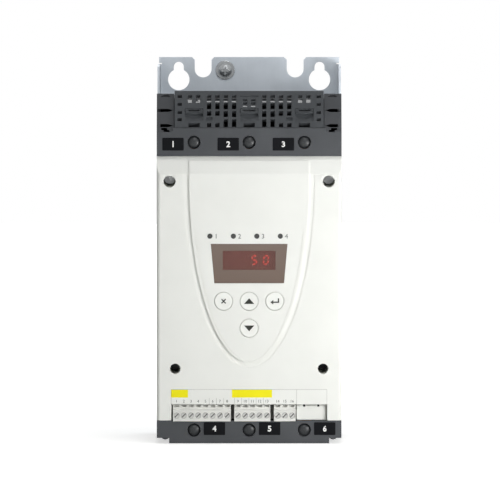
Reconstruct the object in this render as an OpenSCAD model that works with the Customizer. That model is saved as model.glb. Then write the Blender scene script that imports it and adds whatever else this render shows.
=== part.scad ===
// Three-phase soft starter for wall mounting, in millimetres.
// +X is right seen from the front, the front faces -Y, the wall is at +Y and +Z is up.
// The origin is the middle of the unit's footprint, at its lowest edge.

/* [Overall] */
// Width of the unit
unit_w = 130; // [124:1:150]
// Depth from the wall to the front face
unit_d = 169; // [165:1:190]
// Height of the back plate
plate_h = 265; // [255:1:290]
// Wall of the moulded covers
wall = 2.5; // [2:0.1:3]
// Gap between pieces that fit beside each other
fit_gap = 0.3; // [0.2:0.05:0.4]

/* [Back plate] */
// Thickness of the plate's sheet
sheet_t = 1.5; // [1.2:0.1:2]
// Inside radius of the folds
bend_r = 1.5; // [1:0.1:3]
// How far the side flanges end below the top edge
flange_drop = 5; // [3:0.5:10]
// How far the web stands back from the sides above the flanges
web_step = 1; // [0.5:0.1:2]
// Keyhole centres from the unit's sides
keyhole_inset = 15; // [14:0.5:18]
// Round part of a keyhole
keyhole_d = 15.2; // [13:0.1:17]
// Width of a keyhole's narrow slot
keyhole_slot_w = 7.1; // [5:0.1:8]
// Distance from the round part's centre up to the slot's end centre
keyhole_rise = 9; // [8:0.5:11]
// Slot's end centre below the plate's top edge
keyhole_drop = 7; // [6:0.5:10]
// Height of the lower slots' end centre
lower_slot_z = 8; // [7:0.5:12]
// Open slots in the top edge, measured inwards from the keyholes
top_slot_step = 17.3; // [16:0.1:19]
// Width of an open slot
top_slot_w = 11.9; // [9:0.1:13]
// Depth of an open slot
top_slot_depth = 14.5; // [11:0.5:17]
// Chamfer at an open slot's mouth
top_slot_chamfer = 2; // [1:0.1:2.5]
// Earth point, measured inwards from the left open slot
earth_step = 15.7; // [15:0.1:17]
// Earth point below the top edge
earth_drop = 9.3; // [8:0.1:12]
// Earth washer diameter
earth_washer_d = 13.6; // [12:0.1:15]
// Earth screw head diameter
earth_head_d = 9.4; // [8:0.1:10.5]
// Thread diameter of the earth screw
earth_thread_d = 5; // [4:0.5:6]

/* [Heat sink] */
// Depth of the heat sink
sink_d = 43; // [38:1:50]
// Lower end of the heat sink
sink_z0 = 24; // [20:0.5:30]
// Top of the heat sink below the plate's top edge
sink_drop = 29; // [26:1:34]
// Thickness of the heat sink's base
sink_base_t = 10; // [9:0.5:14]
// Number of inner fins
fin_count = 11; // [7:1:13]
// Thickness of an inner fin
fin_t = 2.2; // [1.5:0.1:3]
// Width of the solid side rails
rail_w = 9; // [8:0.5:11]
// Thread diameter of the fixing screws
screw_d = 4; // [3:0.1:4.5]
// Head diameter of the pan head screws
pan_head_d = 7; // [6.5:0.1:7.5]
// Head height of the pan head screws
pan_head_h = 2.5; // [2:0.1:3]

/* [Base housing] */
// Depth of the base housing
housing_d = 60; // [55:1:66]
// Top of the base housing below the plate's top edge
housing_drop = 25; // [23:0.5:28]
// Height of the foot below the side steps
foot_h = 3.8; // [3:0.1:4.2]
// Diameter of the screw towers
tower_d = 10; // [9:0.5:10.5]

/* [Front cover] */
// Lower edge of the front cover
cover_z0 = 16.2; // [16:0.1:17.5]
// Upper edge of the front cover below the plate's top edge
cover_drop = 63; // [62:0.5:66]
// Height of the band that leans back under the upper shroud
brow_h = 12; // [8:0.5:13]
// How far that band leans back
brow_lean = 4; // [2:0.5:6]
// Radius of the two upright front edges
edge_r = 2.5; // [1.5:0.1:4]
// How far the shield stands proud of the cover
shield_rise = 0.8; // [0.4:0.1:1]
// Shield's sides from the unit's sides
shield_inset = 22.8; // [21:0.2:25]
// Top of the shield below the cover's upper edge
shield_top_drop = 3; // [2:0.5:6]
// Where the shield's sides begin to curve in, below the cover's upper edge
shield_shoulder_drop = 17; // [14:1:22]
// Lowest point of the shield
shield_tip_z = 57.2; // [54:0.2:62]
// Inner line's distance from the shield's edge
shield_line_inset = 2.6; // [2:0.1:3.5]
// Width of the inner line
shield_line_w = 0.5; // [0.4:0.1:0.8]
// Depth of the inner line
shield_line_d = 0.4; // [0.3:0.1:0.6]
// Inner line's distance from the shield's tip
shield_line_tip = 0.7; // [0.5:0.1:2.6]
// Width of the moat round the shield
moat_w = 3.8; // [3:0.1:5]
// Depth of the moat
moat_d = 0.5; // [0.3:0.1:0.8]
// Gap between the panel line and the band that leans back
panel_line_gap = 0.6; // [0.2:0.1:2]
// Width of the panel line
panel_line_w = 0.4; // [0.3:0.1:0.6]
// Depth of the panel line
panel_line_d = 0.3; // [0.2:0.1:0.5]
// Half width of the control recess
recess_half_w = 55; // [54.6:0.1:55.5]
// Top of the control recess
recess_top_z = 27.5; // [27:0.1:28.5]
// Upper cover screws from the unit's sides
upper_screw_inset = 9; // [8.8:0.1:10]
// Upper cover screws below the cover's upper edge
upper_screw_drop = 17.6; // [16:0.1:18]
// Diameter of the upper screw holes
upper_hole_d = 8.5; // [8:0.1:9]
// Lower cover screws from the unit's sides
lower_screw_inset = 13; // [12:0.1:14]
// Height of the lower cover screws
lower_screw_z = 52.5; // [52:0.1:54]
// Diameter of the lower screw holes
lower_hole_d = 7.4; // [7.2:0.1:8]
// Depth of the screw holes
screw_hole_depth = 50; // [44:0.5:54]

/* [Display and keys] */
// Width of the window at its top
window_top_w = 54; // [50:0.2:56]
// Width of the window at its bottom
window_bottom_w = 49; // [46:0.2:52]
// Lower edge of the window
window_z0 = 112.8; // [112:0.1:116]
// Upper edge of the window
window_z1 = 140.6; // [138:0.1:141]
// Thickness of the rim behind the window
window_rim_t = 1.2; // [1:0.1:2]
// How far that rim reaches past the opening
window_rim = 1.5; // [1:0.1:2]
// Width of the display module
display_w = 37.2; // [34:0.2:40]
// Height of the display module
display_h = 13.5; // [12:0.1:15]
// Height of the display's middle
display_z = 129; // [128:0.1:130]
// Key diameter
key_d = 12.8; // [12:0.1:13.4]
// Keys' spacing along the row
key_pitch = 18; // [17:0.1:19]
// Height of the key row
key_row_z = 100.2; // [99:0.1:101]
// Height of the single key below the row
key_low_z = 81.2; // [80:0.1:82]
// Key travel
key_travel = 0.8; // [0.5:0.1:1]
// Light pipe diameter
led_d = 3.5; // [3:0.1:4]
// Spacing of the light pipes
led_pitch = 16.5; // [16:0.1:17]
// First light pipe left of the middle
led_left = 27.6; // [27:0.1:28]
// Height of the light pipes
led_z = 146; // [145:0.1:148]
// Distance from the front face back to the control board
board_set_back = 16.5; // [16:0.1:18]
// Thickness of the boards
board_t = 1.6; // [1.2:0.1:2]

/* [Control terminals] */
// Pole pitch of the control terminals
pole_pitch = 5.08; // [5:0.01:5.08]
// First control block from the left wall of the recess
block_inset = 1.4; // [1:0.1:1.8]
// Gap between two control blocks
block_gap = 2.5; // [2:0.1:2.6]
// Lower face of the control blocks
block_z0 = 15.5; // [15.4:0.1:17]
// Height of the control blocks
block_h = 8.3; // [7.8:0.1:9]
// Front of the control blocks behind the front face
block_set_back = 0.8; // [0.5:0.1:1.2]
// Height of the control screws above the blocks' lower face
control_axis_h = 4.1; // [3.6:0.1:4.4]
// Diameter of the control screws
control_screw_d = 3.8; // [3.4:0.1:4]
// Gap between the last control block and the port cover
port_gap = 0.7; // [0.5:0.1:1]
// Port cover from the right wall of the recess
port_inset = 1.1; // [1:0.1:2]
// Lower edge of the port cover
port_z0 = 16.5; // [16.4:0.1:17]
// Height of the port cover
port_h = 9.9; // [9:0.1:10]

/* [Power terminals] */
// What the three phases leave free of the unit's width
phase_margin = 13.6; // [12:0.1:16]
// Diameter of the access holes over the clamp screws
access_d = 9.4; // [9:0.1:9.6]
// Height of the line clamp screws above the upper shroud's lower edge
line_axis_h = 9.7; // [9.5:0.1:10.5]
// Height of the load clamp screws
load_axis_z = 9.4; // [9.2:0.1:9.6]
// Front of the two shrouds behind the front face
shroud_set_back = 1.5; // [1:0.1:3]
// Height of the upper shroud's upright face
shroud_face_h = 19.7; // [19:0.1:21]
// How far the grille slopes back
slope_run = 28; // [24:0.5:34]
// Top of the grille below the plate's top edge
roof_drop = 18; // [16:0.5:19]
// Ends of the grille from the unit's sides
grille_inset = 12.5; // [12:0.1:13]
// Thickness of the grille
grille_t = 3; // [2.5:0.1:3.5]
// How far the grille stands proud of the wings
grille_proud = 2; // [1.5:0.1:2.2]
// Width of a grille hole
grille_hole_w = 3; // [2.4:0.1:3.4]
// Margin between a bay and the nearest grille column
bay_margin = 2.6; // [2.4:0.1:3.2]
// Outermost grille column from the grille's end
grille_outer_inset = 3.6; // [3:0.1:4]
// Width of a break-out bay
bay_w = 13; // [12:0.1:13.4]
// Ends of the narrow foot under the lower shroud from the unit's sides
foot_inset = 8.7; // [8:0.1:10]

/* [Power parts] */
// Gap between two thyristor modules
module_gap = 8.8; // [8.6:0.1:12]
// Lower face of the module bodies
module_z0 = 100; // [99.5:0.1:101]
// Depth of a module
module_d = 30; // [28:0.5:32]
// Thickness of a busbar
bar_t = 1.5; // [1.2:0.1:1.6]
// Width of a busbar
bar_w = 10; // [8:0.5:10.4]
// Width of a terminal clamp
clamp_w = 15; // [14:0.5:16]
// Height of a terminal clamp
clamp_h = 7.8; // [7.4:0.1:8]
// Depth of a terminal clamp
clamp_d = 19; // [17:0.5:20]
// Gap between two bypass relays
relay_gap = 10.8; // [10:0.1:16]
// Lower face of the bypass relays
relay_z0 = 61; // [60:0.5:63]
// Height of a bypass relay
relay_h = 30; // [26:0.5:31]
// Depth of a bypass relay
relay_d = 23; // [18:0.5:25]
// Outer diameter of a current transformer
transformer_d = 26; // [22:0.5:28]
// Bore of a current transformer
transformer_bore_d = 12; // [11:0.5:14]
// Height of a current transformer
transformer_h = 16; // [12:0.5:18]
// Lower face of the current transformers
transformer_z0 = 24; // [22:0.5:27]
// Gap between the power board and the screw towers beside it
power_board_side = 3; // [2:0.5:6]
// Gap between the power board and the front of the modules
power_board_gap = 16; // [13:0.5:20]

/* [Hidden] */
$fn = 64;
cut = 1;

// Planes along the depth
front_y = -unit_d / 2;
rear_y = unit_d / 2;
web_y = rear_y - sheet_t;
sink_y = web_y - sink_d;
housing_y = sink_y - housing_d;
floor_y = sink_y - wall;
cover_y = front_y + shield_rise;
cover_in_y = cover_y + wall;
shroud_y = front_y + shroud_set_back;
shroud_in_y = shroud_y + wall;
board_y = front_y + board_set_back;
hole_end_y = cover_y + screw_hole_depth;
hole_web_t = 3;
tower_y = hole_end_y + hole_web_t;

// Heights
keyhole_slot_z = plate_h - keyhole_drop;
keyhole_z = keyhole_slot_z - keyhole_rise;
earth_z = plate_h - earth_drop;
sink_z1 = plate_h - sink_drop;
sink_h = sink_z1 - sink_z0;
housing_z1 = plate_h - housing_drop;
roof_z = plate_h - roof_drop;
roof_rear_z = housing_z1 + fit_gap + grille_t;
cover_z1 = plate_h - cover_drop;
shield_top_z = cover_z1 - shield_top_drop;
shield_shoulder_z = cover_z1 - shield_shoulder_drop;
upper_screw_z = cover_z1 - upper_screw_drop;
shroud_z0 = cover_z1 + fit_gap;
face_top_z = shroud_z0 + shroud_face_h;
line_axis_z = shroud_z0 + line_axis_h;
lower_shroud_z1 = cover_z0 - fit_gap;
brow_z = cover_z1 - brow_h;
panel_line_z = brow_z - panel_line_gap;

// Places from the middle of the unit
keyhole_x = unit_w / 2 - keyhole_inset;
top_slot_x = keyhole_x - top_slot_step;
earth_x = top_slot_x - earth_step;
shield_half_w = unit_w / 2 - shield_inset;
upper_screw_x = unit_w / 2 - upper_screw_inset;
lower_screw_x = unit_w / 2 - lower_screw_inset;
foot_half_w = unit_w / 2 - foot_inset;
phase_pitch = (unit_w - phase_margin) / 3;
grille_w = unit_w - 2 * grille_inset;

// Back plate folds and fixings
relief_h = 0.8;
earth_washer_t = 1.2;
earth_head_h = 3.2;
earth_dome_h = 1.8;
earth_cross_l = 5.6;
earth_cross_w = 1.1;
earth_cross_d = 1.4;
fold_r = bend_r + sheet_t;
flange_z1 = plate_h - flange_drop;
rail_screw_x = unit_w / 2 - sheet_t - fit_gap - rail_w / 2;
rail_screw_inset = 20;
rail_screws_z = [sink_z0 + rail_screw_inset, sink_z1 - rail_screw_inset];
countersink_d = 7.6;
screw_clear = 0.15;
bore_d = screw_d + 2 * screw_clear;
rail_screw_l = 14;
rail_chamfer = bend_r + fit_gap;

// Heat sink fins
sink_w = unit_w - 2 * (sheet_t + fit_gap);
fin_gap_w = sink_w - 2 * rail_w;
fin_pitch = fin_gap_w / (fin_count + 1);
fin_clear = 1.5;
tap_depth = 8;

// Fixing screws of the base housing
housing_head_clear = 1;
housing_screw_x = unit_w / 2 - wall - pan_head_d / 2 - housing_head_clear;
housing_screw_inset = 12;
housing_screws_z = [sink_z0 + housing_screw_inset, sink_z1 - housing_screw_inset];

// Cover screws: place and hole size
cover_screw_spots = [
    [upper_screw_x, upper_screw_z, upper_hole_d],
    [lower_screw_x, lower_screw_z, lower_hole_d]
];
boss_wall = 1.8;
cover_head_clear = 0.4;
cover_head_h = 3;
cover_screw_grip = 12;

// Shield outline, a straight-sided top on half an ellipse
shield_steps = 40;
function shield_arc(inset, tip_inset) = [
    for (i = [0 : shield_steps])
        let (a = 180 + 180 * i / shield_steps)
        [
            (shield_half_w - inset) * cos(a),
            shield_shoulder_z + (shield_shoulder_z - shield_tip_z - tip_inset) * sin(a)
        ]
];

shield_line_drop = 35;
shield_line_top_z = shield_shoulder_z - shield_line_drop;

// Window seat
window_sink = 0.2;
window_clear = 0.15;

// Keys: name and place
keys = [
    ["key_escape", -key_pitch, key_row_z],
    ["key_up", 0, key_row_z],
    ["key_enter", key_pitch, key_row_z],
    ["key_down", 0, key_low_z]
];
key_chamfer = 0.4;
key_sink = 0.1;
key_lip = 1.2;
key_lip_t = 1;
key_stem_d = 4;
switch_w = 6;
switch_h = 4;
switch_tip_d = 3.4;
switch_tip_h = 0.6;
switch_y = board_y - switch_h - switch_tip_h;

// Light pipes
led_count = 4;
function led_x(i) = i * led_pitch - led_left;

// Control board outline: narrow between the screw bosses, wide at the terminals
board_side_clear = 2.5;
board_half_w = lower_screw_x - lower_hole_d / 2 - boss_wall - board_side_clear;
board_foot_clear = 0.5;
board_foot_half_w = recess_half_w - board_foot_clear;
board_foot_z1 = 44;
board_z0 = port_z0;
board_z1 = brow_z;
board_boss_d = 7;
board_boss_inset = 7;
board_boss_x = board_half_w - board_boss_inset;
board_boss_low_z = 60;
board_boss_drop = 16;
board_boss_z = [board_boss_low_z, board_z1 - board_boss_drop];
display_d = 10;
recess_past_board = 3;
jack_w = 16;
jack_h = 13;
jack_d = 11;
jack_y = board_y - jack_d;
jack_mouth_w = 11.8;
jack_mouth_h = 6.8;
jack_wall = 2.4;
port_t = 1.5;
port_plug_l = 7;
port_mark_w = 1.6;
port_mark_h = 0.7;
port_mark_x = 5;

// Control blocks: left end and number of poles
block8_x = block_inset - recess_half_w;
block5_x = block8_x + 8 * pole_pitch + block_gap;
block3_x = block5_x + 5 * pole_pitch + block_gap;
block_rows = [[block8_x, 8], [block5_x, 5], [block3_x, 3]];
port_x0 = block3_x + 3 * pole_pitch + port_gap;
port_x1 = recess_half_w - port_inset;
port_x = (port_x0 + port_x1) / 2;
function pole_x(row, i) = row[0] + (i + 1 / 2) * pole_pitch;

// Control screws
control_screw_clear = 0.2;
block_bore_d = control_screw_d + 2 * control_screw_clear;
control_screw_l = 6;
control_screw_sink = 0.8;
control_slot_w = 0.7;
control_slot_d = 0.8;
control_slot_turn = 45;
control_axis_z = block_z0 + control_axis_h;
block_y = front_y + block_set_back;
entry_w = 3.2;
entry_h = 4.5;
entry_set_back = 3.8;
block_edge = 0.8;
block_step_back = 2.6;
block_step_clear = 0.4;
notch_w = 3.4;
notch_h = 1.5;
notch_d = 2.5;
recess_cheek_d = 4;
recess_cheek_lean = 0.9;

// Grille slope
slope_z0 = face_top_z + fit_gap;
slope_rise = roof_z - slope_z0;
slope_angle = atan2(slope_rise, slope_run);
roof_lap = 4;
roof_end_y = housing_y + roof_lap;
shroud_end_y = housing_y - fit_gap;

wing_z0 = slope_z0 - grille_proud / cos(slope_angle);
wing_z1 = roof_z - grille_proud;
wing_rear_z = roof_rear_z - grille_proud;

// Depth of a face that slopes back from the front of the upper shroud, at a height
function slope_y(start_z, z) = shroud_y + (z - start_z) / tan(slope_angle);

// Rows of grille holes, as heights up the slope from its lower edge
row_top = [30.3, 33.2];
row_mid = [18.9, 25.3];
row_low_outer = [12.2, 17.1];
row_low_inner = [10.9, 17.1];
row_foot_outer = [0.7, 5.1];
row_foot_inner = [0.7, 8.9];
patch_row = [7, 10.6];
patch_w = 4.6;
patch_d = 1;
sill_row = [26, 30.4];
sill_d = 1.6;
outer_rows = [[30.3, 33.2], [22.3, 25.2], [14.1, 17.1], [6.5, 9.8]];
group_columns = [-1.5, -0.5, 0.5, 1.5];
column_gaps = len(group_columns) - 1;
grille_pitch = (phase_pitch - bay_w - grille_hole_w - 2 * bay_margin) / column_gaps;
grille_group_x = phase_pitch / 2;
grille_outer_x = grille_w / 2 - grille_outer_inset;

// Break-out bays
bay_row = [7, 19.6];
bay_d = 0.8;
bay_slot_w = 7.8;
bay_slot_row = [16.3, 18.9];
bay_lip_w = 11.7;
bay_lip_row = [15.3, 16.2];
bay_lip_h = 0.3;
bay_hook_w = 0.9;
bay_hook_row = [16, 18.4];
bay_dish_r = 9;
bay_dish_w = 12.6;
bay_dish_row = [9.5, 14.9];
bay_dish_d = 2.2;
bay_foot_w = 7.9;
bay_window_x = 2.9;
bay_window_row = [31.5, 33.2];
bay_sill_row = [25.3, 31.6];
bay_eye_row = [27.3, 29];
bay_low_row = [21.3, 26];
bay_line_row = [31.5, 32.5];
bay_line_d = 0.6;

// Wing slots and clip notches of the upper shroud
wing_gap_x = grille_w / 2 + fit_gap;
cheek_t = 2;
wing_slot_h = 2.2;
wing_slot_depth = 5;
wing_slot_in = 0.3;
wing_slots_h = [21.2, 31.4];
wing_slot_taper = 4;
wing_slot_ends = [2.5, -1];
wing_eye_w = 7;
wing_eye_h = 1.3;
wing_eye_drop = 0.8;
wing_eye_inset = 6.3;
wing_eye_depth = 3;
clip_inset = 7.4;
clip_x = unit_w / 2 - clip_inset;
clip_w = 4.2;
clip_h = 1.5;
clip_shift = 1.6;
clip_rise = 18.2;
clip_lap = 0.2;

// Lower shroud lugs and knock-outs
lug_r = 3.2;
lug_drop = 1.2;
lug_inset = 6;
lug_x = unit_w / 2 - lug_inset;
lug_l = 6;
knockout_w = 16;
knockout_l = 22;
knockout_d = 1;

// Clamp parts
clamp_wall = 2;
clamp_set_back = 3;
clamp_y = shroud_in_y + clamp_set_back;
clamp_in_y = clamp_y + clamp_wall;
clamp_rear_y = clamp_y + clamp_d;
clamp_head_gap = 0.2;
clamp_head_d = access_d - 2 * clamp_head_gap;
clamp_head_sink = 0.6;
clamp_dome_h = 1.6;
clamp_screw_d = 5;
clamp_tip_gap = 4;
bar_rear_y = sink_y - module_d;
bar_lap = 14;
bar_lift = clamp_h / 2 + fit_gap;
bar_screw_inset = 6;
bar_screw_grip = 6;
module_plate_t = 3;
module_ear = 6.5;
module_top_clear = 0.9;
module_w = phase_pitch - module_gap;
module_z1 = upper_screw_z - tower_d / 2 - module_top_clear - module_ear;
module_h = module_z1 - module_z0;
relay_w = phase_pitch - relay_gap;
module_head_clear = 0.4;
module_screw_inset = module_head_clear + pan_head_d / 2;
module_screws_z = [module_z0 - module_screw_inset, module_z1 + module_screw_inset];
bar_screws_z = [module_z0 + bar_screw_inset, module_z1 - bar_screw_inset];
module_chamfer = 2;
transformer_foot_w = 14;
pillar_d = 6;
pillar_x = phase_pitch / 2;
pillar_low_z = 50;
pillar_rise = 3.5;
pillar_z = [pillar_low_z, module_z1 + module_ear + pillar_rise];
power_board_half_w = lower_screw_x - tower_d / 2 - power_board_side;
power_board_y = bar_rear_y - power_board_gap;
power_board_margin = 6;

phases = [-1, 0, 1];

// A flat shape in X and Z, extruded along Y
module along_y(y0, y1) {
    translate([0, y1, 0]) rotate([90, 0, 0]) linear_extrude(y1 - y0) children();
}

// A side profile in Y and Z, extruded along X over a width about the middle
module along_x(w) {
    rotate([90, 0, 90]) linear_extrude(w, center = true) children();
}

// Radius of the ball that gives a head its dome
function dome_radius(d, h) = (pow(d / 2, 2) + pow(h, 2)) / (2 * h);

// A round rod along Y
module rod_y(x, z, d, y0, y1) {
    translate([x, y0, z]) rotate([-90, 0, 0]) cylinder(d = d, h = y1 - y0);
}

// Mirrors a flat shape to the left where s is -1
module to_side(s) {
    mirror([s < 0 ? 1 : 0, 0]) children();
}

// A box between its lowest and highest corner
module block(low, high) {
    translate(low) cube(high - low);
}

// A pan head screw driven towards the wall, with its head seated at seat_y
module pan_screw(x, z, seat_y, length) {
    rod_y(x, z, pan_head_d, seat_y - pan_head_h, seat_y);
    rod_y(x, z, screw_d, seat_y - pan_head_h / 2, seat_y + length);
}

// Sheet metal

// Outline of the folded channel seen from above, open to the front from y0
module channel_outline(inset, y0) {
    half = unit_w / 2 - inset;
    r = fold_r - inset;
    y1 = rear_y - inset;
    translate([-half, y0]) square([2 * half, y1 - r - y0]);
    translate([r - half, y0]) square([2 * (half - r), y1 - y0]);
    for (s = [-1, 1])
        translate([s * (half - r), y1 - r]) circle(r);
}

// A countersunk screw or its hole, from the back of the plate forwards
module countersunk(x, z, head_d, shank_d, length) {
    translate([x, rear_y, z]) rotate([90, 0, 0]) {
        cylinder(d1 = head_d, d2 = shank_d, h = (head_d - shank_d) / 2);
        cylinder(d = shank_d, h = length);
    }
}

module rail_screw_holes() {
    for (s = [-1, 1], z = rail_screws_z)
        countersunk(s * rail_screw_x, z, countersink_d, bore_d, rail_screw_l + cut);
}

module keyhole(x) {
    rod_y(x, keyhole_z, keyhole_d, web_y - cut, rear_y + cut);
    rod_y(x, keyhole_slot_z, keyhole_slot_w, web_y - cut, rear_y + cut);
    block([x - keyhole_slot_w / 2, web_y - cut, keyhole_z],
          [x + keyhole_slot_w / 2, rear_y + cut, keyhole_slot_z]);
}

module lower_slot(x) {
    rod_y(x, lower_slot_z, keyhole_slot_w, web_y - cut, rear_y + cut);
    block([x - keyhole_slot_w / 2, web_y - cut, -cut],
          [x + keyhole_slot_w / 2, rear_y + cut, lower_slot_z]);
}

// An open slot in the top edge, with a round foot and a chamfered mouth
module top_slot(x) {
    half = top_slot_w / 2;
    foot_z = plate_h - top_slot_depth + half;
    rod_y(x, foot_z, top_slot_w, web_y - cut, rear_y + cut);
    along_y(web_y - cut, rear_y + cut) translate([x, 0]) polygon([
        [-half, foot_z], [half, foot_z],
        [half, plate_h - top_slot_chamfer], [half + top_slot_chamfer + cut, plate_h + cut],
        [-half - top_slot_chamfer - cut, plate_h + cut], [-half, plate_h - top_slot_chamfer]
    ]);
}

module back_plate() {
    color("#A3A8AC") difference() {
        union() {
            linear_extrude(flange_z1) difference() {
                channel_outline(0, sink_y + fit_gap);
                channel_outline(sheet_t, sink_y);
            }
            block([fold_r - unit_w / 2, web_y, 0], [unit_w / 2 - fold_r, rear_y, plate_h]);
            block([web_step - unit_w / 2, web_y, flange_z1 + relief_h],
                  [unit_w / 2 - web_step, rear_y, plate_h]);
        }
        for (s = [-1, 1]) {
            keyhole(s * keyhole_x);
            lower_slot(s * keyhole_x);
            top_slot(s * top_slot_x);
        }
        rod_y(-earth_x, earth_z, earth_thread_d + 2 * screw_clear, web_y - cut, rear_y + cut);
        rail_screw_holes();
    }
}

module plate_screws() {
    color("#B5B9BC")
        for (s = [-1, 1], z = rail_screws_z)
            countersunk(s * rail_screw_x, z, countersink_d - 2 * screw_clear, screw_d, rail_screw_l);
}

module earth_washer() {
    color("#C2C5C6") difference() {
        rod_y(-earth_x, earth_z, earth_washer_d, web_y - earth_washer_t, web_y);
        rod_y(-earth_x, earth_z, earth_thread_d + 2 * screw_clear,
              web_y - earth_washer_t - cut, web_y + cut);
    }
}

module earth_screw() {
    seat_y = web_y - earth_washer_t;
    head_y = seat_y - earth_head_h;
    dome_r = dome_radius(earth_head_d, earth_dome_h);
    color("#B0B3B4") difference() {
        union() {
            intersection() {
                rod_y(-earth_x, earth_z, earth_head_d, head_y, seat_y);
                translate([-earth_x, head_y + dome_r, earth_z]) sphere(dome_r);
            }
            rod_y(-earth_x, earth_z, earth_thread_d, seat_y - cut, rear_y);
        }
        for (a = [0, 90])
            translate([-earth_x, head_y, earth_z]) rotate([0, a, 0])
                cube([earth_cross_l, 2 * earth_cross_d, earth_cross_w], center = true);
    }
}

// Heat sink and base

module heat_sink() {
    half = sink_w / 2;
    rail_in = half - rail_w;
    base_y = sink_y + sink_base_t;
    color("#9A9DA0") difference() {
        translate([0, 0, sink_z0]) linear_extrude(sink_h) {
            polygon([
                [-half, sink_y], [half, sink_y], [half, web_y - rail_chamfer], [half - rail_chamfer, web_y],
                [rail_in, web_y], [rail_in, base_y], [-rail_in, base_y], [-rail_in, web_y],
                [rail_chamfer - half, web_y], [-half, web_y - rail_chamfer]
            ]);
            for (i = [1 : fin_count])
                translate([i * fin_pitch - (fin_gap_w + fin_t) / 2, sink_y + sink_base_t / 2])
                    square([fin_t, sink_d - sink_base_t / 2 - fin_clear]);
        }
        rail_screw_holes();
        for (p = phases, z = module_screws_z)
            rod_y(p * phase_pitch, z, bore_d, sink_y - cut, sink_y + tap_depth);
        for (s = [-1, 1], z = housing_screws_z)
            rod_y(s * housing_screw_x, z, bore_d, sink_y - cut, sink_y + tap_depth);
    }
}

module base_housing() {
    half = unit_w / 2;
    color("#505356") difference() {
        union() {
            difference() {
                block([-half, housing_y, foot_h], [half, sink_y, housing_z1]);
                block([wall - half, housing_y - cut, foot_h + wall],
                      [half - wall, floor_y, housing_z1 - wall]);
            }
            for (spot = cover_screw_spots, s = [-1, 1])
                rod_y(s * spot[0], spot[1], tower_d, tower_y, sink_y - wall / 2);
        }
        for (spot = cover_screw_spots, s = [-1, 1])
            rod_y(s * spot[0], spot[1], bore_d, tower_y - cut, tower_y + cover_screw_grip + cut);
        for (p = phases)
            block([p * phase_pitch - module_w / 2 - fit_gap, floor_y - cut, module_z0 - module_ear - fit_gap],
                  [p * phase_pitch + module_w / 2 + fit_gap, sink_y + cut, module_z1 + module_ear + fit_gap]);
        for (s = [-1, 1], z = housing_screws_z)
            rod_y(s * housing_screw_x, z, bore_d, floor_y - cut, sink_y + cut);
    }
}

module housing_screws() {
    color("#B5B9BC")
        for (s = [-1, 1], z = housing_screws_z)
            pan_screw(s * housing_screw_x, z, floor_y, wall + tap_depth - cut);
}

// Power parts

module thyristor_module(p) {
    x = p * phase_pitch;
    half = module_w / 2;
    plate_y = sink_y - module_plate_t;
    color("#2F3133") difference() {
        union() {
            translate([x, 0, module_z0]) linear_extrude(module_h) polygon([
                [-half, sink_y], [-half, bar_rear_y + module_chamfer], [module_chamfer - half, bar_rear_y],
                [half - module_chamfer, bar_rear_y], [half, bar_rear_y + module_chamfer], [half, sink_y]
            ]);
            block([x - half, plate_y, module_z0 - module_ear],
                  [x + half, sink_y, module_z1 + module_ear]);
        }
        for (z = module_screws_z)
            rod_y(x, z, bore_d, plate_y - cut, sink_y + cut);
        for (z = bar_screws_z)
            rod_y(x, z, bore_d, bar_rear_y - cut, bar_rear_y + bar_screw_grip + cut);
    }
}

module thyristor_module_1() { thyristor_module(phases[0]); }
module thyristor_module_2() { thyristor_module(phases[1]); }
module thyristor_module_3() { thyristor_module(phases[2]); }

module module_screws() {
    color("#B5B9BC")
        for (p = phases, z = module_screws_z)
            pan_screw(p * phase_pitch, z, sink_y - module_plate_t, module_plate_t + tap_depth - cut);
}

module bypass_relay(p) {
    x = p * phase_pitch;
    half = relay_w / 2;
    relay_y = floor_y - relay_d;
    color("#1F2A3A") translate([x, 0, relay_z0]) linear_extrude(relay_h) polygon([
        [-half, floor_y], [-half, relay_y + module_chamfer], [module_chamfer - half, relay_y],
        [half - module_chamfer, relay_y], [half, relay_y + module_chamfer], [half, floor_y]
    ]);
}

module bypass_relay_1() { bypass_relay(phases[0]); }
module bypass_relay_2() { bypass_relay(phases[1]); }
module bypass_relay_3() { bypass_relay(phases[2]); }

// A ring round the load busbar, on a foot that stands on the housing's floor
module current_transformer(p) {
    x = p * phase_pitch;
    ring_y = bar_rear_y - bar_t / 2;
    color("#24272B") difference() {
        union() {
            translate([x, ring_y, transformer_z0]) cylinder(d = transformer_d, h = transformer_h);
            block([x - transformer_foot_w / 2, ring_y, transformer_z0],
                  [x + transformer_foot_w / 2, floor_y, transformer_z0 + transformer_h]);
        }
        translate([x, ring_y, transformer_z0 - cut])
            cylinder(d = transformer_bore_d, h = transformer_h + 2 * cut);
    }
}

module current_transformer_1() { current_transformer(phases[0]); }
module current_transformer_2() { current_transformer(phases[1]); }
module current_transformer_3() { current_transformer(phases[2]); }

// Bent strip from a clamp back to the module: an upright tab in the clamp, a run and a leg.
// lift is 1 where the tab points up from the run and -1 where it points down.
function bar_profile(axis_z, lift, leg_end_z) =
    let (
        tab_y1 = clamp_rear_y - clamp_wall,
        tab_y0 = tab_y1 - bar_t,
        run_in = axis_z - lift * bar_lift,
        run_out = run_in - lift * bar_t,
        tab_end = axis_z + lift * clamp_h / 2,
        leg_y0 = bar_rear_y - bar_t
    )
    [
        [tab_y0, run_out], [tab_y0, tab_end], [tab_y1, tab_end], [tab_y1, run_in],
        [bar_rear_y, run_in], [bar_rear_y, leg_end_z], [leg_y0, leg_end_z], [leg_y0, run_out]
    ];

module busbars(axis_z, lift, leg_end_z, screw_z) {
    color("#B87A4B") difference() {
        for (p = phases)
            translate([p * phase_pitch, 0, 0]) along_x(bar_w) polygon(bar_profile(axis_z, lift, leg_end_z));
        for (p = phases)
            rod_y(p * phase_pitch, screw_z, bore_d, bar_rear_y - bar_t - cut, bar_rear_y + cut);
    }
}

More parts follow.
